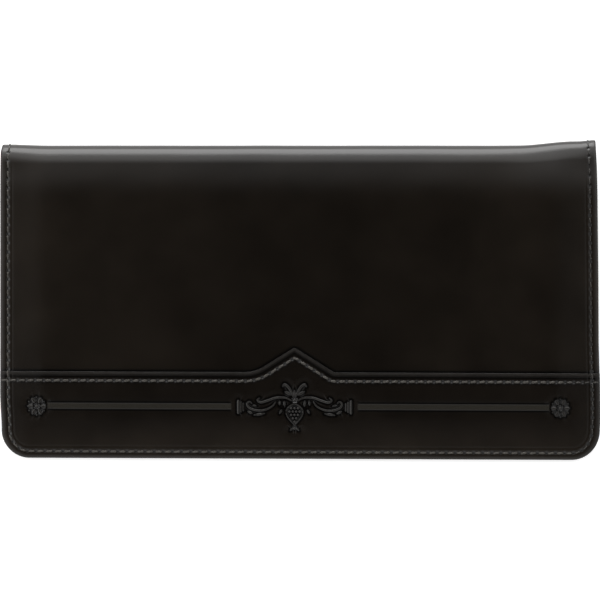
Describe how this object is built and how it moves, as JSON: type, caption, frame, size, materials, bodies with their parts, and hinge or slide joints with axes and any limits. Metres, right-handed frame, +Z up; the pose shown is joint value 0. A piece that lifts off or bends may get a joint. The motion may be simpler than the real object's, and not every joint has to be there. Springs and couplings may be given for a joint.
{
  "type": "checkbook cover",
  "caption": "Slim leather cover that folds once over a check pad, with a lined pocket inside each half and a sewn band with a peak and pressed scrolls across the front.",
  "frame": {"origin": "centre of the closed cover's footprint, on the face that it lies on", "axes": "+X along the fold, +Y from the free edges to the fold, +Z up through the closed cover to the front"},
  "size_m": [0.1684, 0.0882, 0.0115],
  "materials": {
    "shell_leather": "smooth black, semi-gloss",
    "band_leather": "smooth black, semi-gloss, blind pressed",
    "pocket_leather": "smooth black, satin",
    "lining": "black woven lining",
    "board": "plain grey board",
    "thread": "black sewing thread"
  },
  "bodies": {
    "back_cover": {"back_leather": "shell_leather", "back_board": "board", "back_lining": "lining", "check_pocket": "pocket_leather", "back_edge_thread": "thread", "check_pocket_thread": "thread"},
    "spine": {"spine_leather": "shell_leather", "spine_strip": "board", "spine_lining": "lining", "spine_edge_thread": "thread"},
    "front_cover": {"front_leather": "shell_leather", "front_band": "band_leather", "front_board": "board", "front_lining": "lining", "register_pocket": "pocket_leather", "front_edge_thread": "thread", "band_thread": "thread", "register_pocket_thread": "thread"}
  },
  "joints": [
    {"name": "back_crease_fold", "type": "hinge", "parent": "back_cover", "child": "spine", "pos_m": [0, 0.04256, 0.00154], "axis": [-1, 0, 0], "range_deg": [0, 90]},
    {"name": "front_crease_fold", "type": "hinge", "parent": "spine", "child": "front_cover", "pos_m": [0, 0.04256, 0.00896], "axis": [-1, 0, 0], "range_deg": [0, 90]}
  ],
  "couplings": [
    {"joint": "front_crease_fold", "follows": "back_crease_fold", "ratio": 1}
  ]
}
